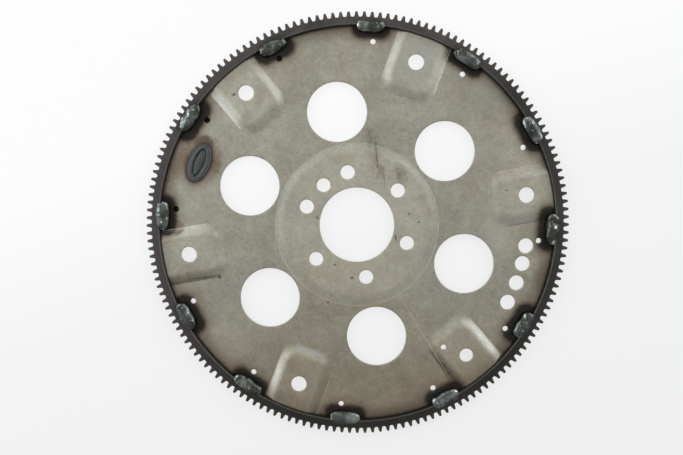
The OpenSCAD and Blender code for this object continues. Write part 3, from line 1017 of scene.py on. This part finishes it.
def tooth_sector():
    """One pitch of the ring, ready to be set round the axis."""
    levels, inner = bevelled(TOOTH_BEVEL), bevelled(RING_CHAMFER)
    vertices, rows, wear_and_highlight = [], [], []

    def row(points, marks):
        first = len(vertices)
        vertices.extend(points)
        wear_and_highlight.extend(marks)
        rows.append(list(range(first, first + len(points))))

    for z, shrink in levels:
        profile = tooth_profile(shrink)
        marks = [0.25 + 0.75 * (r - ROOT_R) / (TIP_R - ROOT_R) if shrink else 0.25 for _, r in profile]
        row([(*polar(r, a), z) for a, r in profile], marks)
    seams = (-math.pi / TEETH, math.pi / TEETH)
    inner_rows = [(FACE_OUTER, RING_WIDTH, 0.0), (FACE_INNER, RING_WIDTH, 0.0)]
    # The inner chamfer's rows carry 2.0, a painted highlight along the ring's inner edge; the tooth tips
    # carry wear
    inner_rows += [(RING_INNER + chamfer, z, 2.0 if chamfer else 0.2) for z, chamfer in reversed(inner)]
    inner_rows += [(FACE_OUTER, 0.0, 0.0)]
    for radius, z, mark in inner_rows:
        row([(*polar(radius, a), z) for a in seams], [mark, mark])
    teeth, ring = rows[:len(levels)], rows[len(levels):]
    faces = [tuple(teeth[-1] + ring[0][::-1]), tuple(ring[-1] + teeth[0][::-1])]
    for band in (teeth, ring):
        for upper, lower in zip(band, band[1:]):
            for k in range(len(upper) - 1):
                faces.append((upper[k], upper[k + 1], lower[k + 1], lower[k]))
    sector = new_object("tooth_sector", vertices, faces, rounded=False)
    store_values(sector, "worn_edge_and_highlight", wear_and_highlight)
    return sector


def teeth_tree():
    """Sets copies of a sector round the axis and joins them."""
    tree, t, given, made = new_group(
        "set_round_axis",
        [
            ("Sector", SHAPE, None),
            ("Copies", COUNT, TEETH),
            ("First Angle", NUMBER, 0.0),
            ("Finish", FINISH, None),
        ],
        [("Ring", SHAPE)],
        "GeometryNodeTree",
    )
    points = t.node("GeometryNodePoints")
    t.join(given["Copies"], points.inputs["Count"])
    index = t.node("GeometryNodeInputIndex").outputs[0]
    step = t.math("DIVIDE", 2 * math.pi, given["Copies"])
    turn = t.math("ADD", t.math("MULTIPLY", index, step), given["First Angle"])
    vector = t.node("ShaderNodeCombineXYZ")
    t.join(turn, vector.inputs["Z"])
    copies = t.node("GeometryNodeInstanceOnPoints")
    t.join(points.outputs[0], copies.inputs["Points"])
    t.join(given["Sector"], copies.inputs["Instance"])
    t.join(vector.outputs[0], copies.inputs["Rotation"])
    real = t.node("GeometryNodeRealizeInstances")
    t.join(copies.outputs[0], real.inputs[0])
    merged = t.node("GeometryNodeMergeByDistance")
    merged.inputs["Distance"].default_value = MERGE_DISTANCE
    t.join(real.outputs[0], merged.inputs["Geometry"])
    finish = t.node("GeometryNodeSetMaterial")
    t.join(merged.outputs[0], finish.inputs["Geometry"])
    t.join(given["Finish"], finish.inputs["Material"])
    t.join(finish.outputs[0], made["Ring"])
    return tree


def make_ring(material):
    sector = tooth_sector()
    tree = teeth_tree()
    modifier = sector.modifiers.new("teeth", "NODES")
    modifier.node_group = tree
    keys = {item.name: item.identifier for item in tree.interface.items_tree if item.in_out == "INPUT"}
    modifier[keys["Copies"]] = TEETH
    modifier[keys["First Angle"]] = TOOTH_PHASE
    modifier[keys["Finish"]] = material
    toothed = sector.evaluated_get(bpy.context.evaluated_depsgraph_get())
    mesh = bpy.data.meshes.new_from_object(toothed)
    bpy.data.objects.remove(sector)
    tidy_normals(mesh)
    ring = in_scene("ring_gear_toothed", mesh)
    point_values(ring, weld_distance)
    finish_piece(ring, material, "ring_steel", "ring_gear")


# Weld beads

def make_weld(number, material):
    """A glassy bead with blunt ends that wraps the corner of plate and ring."""
    half = WELD_LENGTHS[number] / 2
    cos, sin = polar(1, WELD_ANGLES[number])
    along_steps, round_steps = 84, 36
    ring_wall, ring_top = RING_INNER + SINK_IN_BORE, RING_WIDTH - SINK_IN_RING
    seed = Vector((number * 7.3, number * 3.1, 1.7))
    vertices, ends = [], []
    for j in range(along_steps + 1):
        share = math.sin(-math.pi / 2 + math.pi * (j + 0.3) / (along_steps + 0.6))
        along = half * share
        swell = math.sqrt(1 - (share / WELD_STRETCH) ** 2)
        end = WELD_END_HALF_WIDTH * math.sqrt(1 - share * share)
        wide = ((WELD_HALF_WIDTH * swell) ** -6 + end ** -6) ** (-1 / 6)
        high = WELD_HALF_HEIGHT * swell * (wide / (WELD_HALF_WIDTH * swell)) ** 0.45
        for k in range(round_steps):
            turn = 2 * math.pi * k / round_steps
            out, up = math.cos(turn), math.sin(turn)
            square = (abs(out) ** FACE_FLATNESS + abs(up) ** FACE_FLATNESS) ** (-1 / FACE_FLATNESS)
            # A coarse and a fine swing make the skin uneven
            rough = noise.noise(Vector((along * 0.16, out * 1.1, up * 1.1)) + seed)
            fine = noise.noise(Vector((along * 0.45, out * 2.6, up * 2.6)) + seed)
            swing = min(wide / 3, 1) * (0.7 * rough + 0.16 * fine - 0.15)
            r = WELD_CENTRE_R + WELD_SHIFTS[number] + (wide * square + swing) * out
            z = WELD_CENTRE_Z + (high * square + swing) * up
            if r > ring_wall and z < ring_top:
                if r - ring_wall < ring_top - z:
                    r = ring_wall
                else:
                    z = ring_top
            x, y = r * cos - along * sin, r * sin + along * cos
            vertices.append((x, y, max(z, plate_height(x, y) - SINK_IN_PLATE)))
            ends.append(share ** 4)
    faces = ring_faces(along_steps + 1, round_steps)
    faces.append(tuple(range(round_steps)))
    faces.append(tuple(along_steps * round_steps + k for k in reversed(range(round_steps))))
    bead = new_object(f"ring_weld_bead_{number + 1}", vertices, faces)
    store_values(bead, "bead_end", ends)
    store_values(bead, "bead_painted_gleam", [WELD_PAINTED_GLEAM[number]] * len(bead.data.vertices))
    finish_piece(bead, material, "weld_metal", f"ring_weld_{number + 1}")


# The oval weld

# Distance inside the oval's edge, and height above the plate
OVAL_PROFILE = (
    (0, -0.2), (0.05, 0.45), (0.3, 0.95), (0.75, 1.25), (1.15, 1.25), (1.5, 1.1), (1.9, 1.2), (2.6, 1.4),
    (3.5, 1.48), (4.5, 1.4), (5.0, 1.2), (5.4, 0.95), (6.0, 0.85), (6.5, 1.0), (6.95, 1.28), (7.5, 1.44),
    (8.2, 1.48), (9.0, 1.5),
)


def make_oval(material):
    """A grooved oval with uneven bands that lies on the plate."""
    count = 128
    vertices = []
    cos, sin = polar(1, OVAL_ANGLE)
    for inset, height in OVAL_PROFILE:
        for k in range(count):
            px, py = polar(1, 2 * math.pi * k / count)
            waver = noise.noise(Vector((px * 1.7, py * 1.7, inset * 0.2)))
            fine = noise.noise(Vector((px * 9, py * 9, inset * 1.4)))
            moved = inset + 0.9 * waver * (0.5 < inset < 8.5) * min(inset / 4, 1)
            along, across = (OVAL_HALF_LENGTH - moved) * px, (OVAL_HALF_WIDTH - moved) * py
            lift = height + (0.07 * fine + 0.05 * waver) * (height > 0.4)
            radius = OVAL_R + across
            x, y = radius * cos - along * sin, radius * sin + along * cos
            vertices.append((x, y, PLATE_FACE + min(lift, OVAL_HEIGHT)))
    rows = len(OVAL_PROFILE)
    faces = ring_faces(rows, count)
    faces.append(tuple((rows - 1) * count + k for k in range(count)))
    faces.append(tuple(reversed(range(count))))
    oval = new_object("balance_weld_oval", vertices, faces)
    point_values(oval, oval_distance)
    finish_piece(oval, material, "balance_steel", "balance_weld")


make_plate(plate_material())
make_ring(ring_material())
weld_finish = weld_material()
for number in range(WELD_COUNT):
    make_weld(number, weld_finish)
make_oval(oval_material())

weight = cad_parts["counterweight"]
weight.data.materials.clear()
weight.data.materials.append(counterweight_material())


# Floor, light and camera

# Radius and height of the floor in metres. Its far edge curves up as a backdrop.
FLOOR_PROFILE = ((6.0, 0.0), (7.0, 0.12), (8.0, 0.5), (9.0, 1.2), (9.6, 2.0))
# The floor lies this much below the ring, so that the two don't share a plane
FLOOR_DROP = 0.0004
# Towards this direction of the turned view the floor gets darker, a painted shade, from one distance in
# metres to another
DARKER_SIDE = (0.3, -0.954)
DARKER_FROM, DARKER_TO = -0.12, 0.25
FLOOR_GREYS = ((0.0, (0.955, 0.955, 0.955)), (0.38, (0.872, 0.872, 0.872)), (1.0, (0.84, 0.84, 0.84)))
# How much of the floor's own brightness the camera and reflections see; the rest takes the shadow
FLOOR_GLOW = 0.86


def make_floor():
    count = 64
    vertices = []
    for radius, height in FLOOR_PROFILE:
        for k in range(count):
            vertices.append((*polar(radius, 2 * math.pi * k / count), height - FLOOR_DROP))
    faces = [tuple(range(count))]
    faces += [face[::-1] for face in ring_faces(len(FLOOR_PROFILE), count)]
    mesh = bpy.data.meshes.new("floor")
    mesh.from_pydata(vertices, [], faces)
    material = bpy.data.materials.new("pale_floor")
    material.use_nodes = True
    t = Tree(material.node_tree)
    nodes = material.node_tree.nodes
    nodes.remove(nodes["Principled BSDF"])
    matt = t.node("ShaderNodeBsdfDiffuse")
    matt.inputs["Color"].default_value = (0.93, 0.93, 0.93, 1)
    glow = t.node("ShaderNodeEmission")
    glow.inputs["Strength"].default_value = 1.0
    shade = t.node("ShaderNodeMapRange")
    t.join(t.along(t.node("ShaderNodeTexCoord").outputs["Object"], *DARKER_SIDE), shade.inputs["Value"])
    shade.inputs["From Min"].default_value = DARKER_FROM
    shade.inputs["From Max"].default_value = DARKER_TO
    t.join(t.ramp(shade.outputs["Result"], FLOOR_GREYS), glow.inputs["Color"])
    path = t.node("ShaderNodeLightPath").outputs
    shown = t.math("MAXIMUM", path["Is Camera Ray"], path["Is Glossy Ray"])
    shown = t.math("MAXIMUM", shown, path["Is Transmission Ray"])
    blend = t.node("ShaderNodeMixShader")
    t.join(t.math("MULTIPLY", shown, FLOOR_GLOW), blend.inputs["Fac"])
    t.join(matt.outputs[0], blend.inputs[1])
    t.join(glow.outputs[0], blend.inputs[2])
    t.join(blend.outputs[0], nodes["Material Output"].inputs["Surface"])
    mesh.materials.append(material)
    floor = in_scene("floor", mesh)


def softbox(name, side, height, distance, width, depth, watts):
    """A soft lamp that faces the plate; side is its bearing in the turned view, height its elevation."""
    lamp = bpy.data.lights.new(name, "AREA")
    lamp.shape = "RECTANGLE"
    lamp.size, lamp.size_y = width, depth
    lamp.energy = watts
    lamp.color = (0.92, 0.97, 1.0)
    level, up = polar(distance, math.radians(height))
    place = Vector((*polar(level, math.radians(side) + VIEW_TURN), up))
    aim = (-place).to_track_quat("-Z", "Y").to_matrix().to_4x4()
    in_scene(name, lamp).matrix_world = Matrix.Translation(place) @ aim


def make_light():
    world = bpy.data.worlds.new("studio")
    bpy.context.scene.world = world
    world.use_nodes = True
    t = Tree(world.node_tree)
    ground = world.node_tree.nodes["Background"]
    sky = t.node("ShaderNodeTexCoord").outputs["Generated"]
    shade = t.span(t.along(sky, 0, -1), -0.1, 0.75, 0.58, 0.52)
    overhead = t.span(t.parts(sky)["Z"], 0.72, 1.0, 0.0, 0.24)
    t.join(t.math("ADD", shade, overhead), ground.inputs["Strength"])
    ground.inputs["Color"].default_value = (1, 0.995, 0.985, 1)
    softbox("softbox_left", 166, 38, 1.5, 1.3, 1.0, 11)
    softbox("softbox_right", 36, 38, 1.5, 1.3, 1.0, 11)
    softbox("softbox_top", 118, 52, 1.6, 1.0, 0.6, 1.8)


# Where the middle of the plate lies as the camera sees it, and its lean about X, Y and Z in radians
PLATE_SEEN_AT = Vector((13.13, 2.31, -640.9)) * MM
PLATE_LEANS = (0.05, -0.01493, 0.0008)
# The photograph's width and the camera's focal length in pixels of it, and the sensor in millimetres
PHOTO_WIDTH, FOCAL_PIXELS, SENSOR_WIDTH = 683, 750, 36.0


def make_camera():
    """The eye stands 0.64 m above the plate and is tipped and turned as the view is."""
    lean_x, lean_y, lean_z = [Matrix.Rotation(lean, 4, axis) for lean, axis in zip(PLATE_LEANS, "XYZ")]
    back = (lean_x @ lean_y @ lean_z).inverted()
    stand = Matrix.Translation(back @ -PLATE_SEEN_AT) @ back
    turn = Matrix.Translation((0, 0, PLATE_FACE * MM)) @ Matrix.Rotation(VIEW_TURN, 4, "Z")
    lens = bpy.data.cameras.new("camera")
    lens.sensor_fit = "HORIZONTAL"
    lens.sensor_width = SENSOR_WIDTH
    lens.lens = FOCAL_PIXELS / PHOTO_WIDTH * SENSOR_WIDTH
    lens.clip_start, lens.clip_end = 0.01, 100
    camera = in_scene("camera", lens)
    camera.matrix_world = turn @ stand
    bpy.context.scene.camera = camera


make_floor()
make_light()
make_camera()
bpy.context.scene.view_settings.view_transform = "Standard"
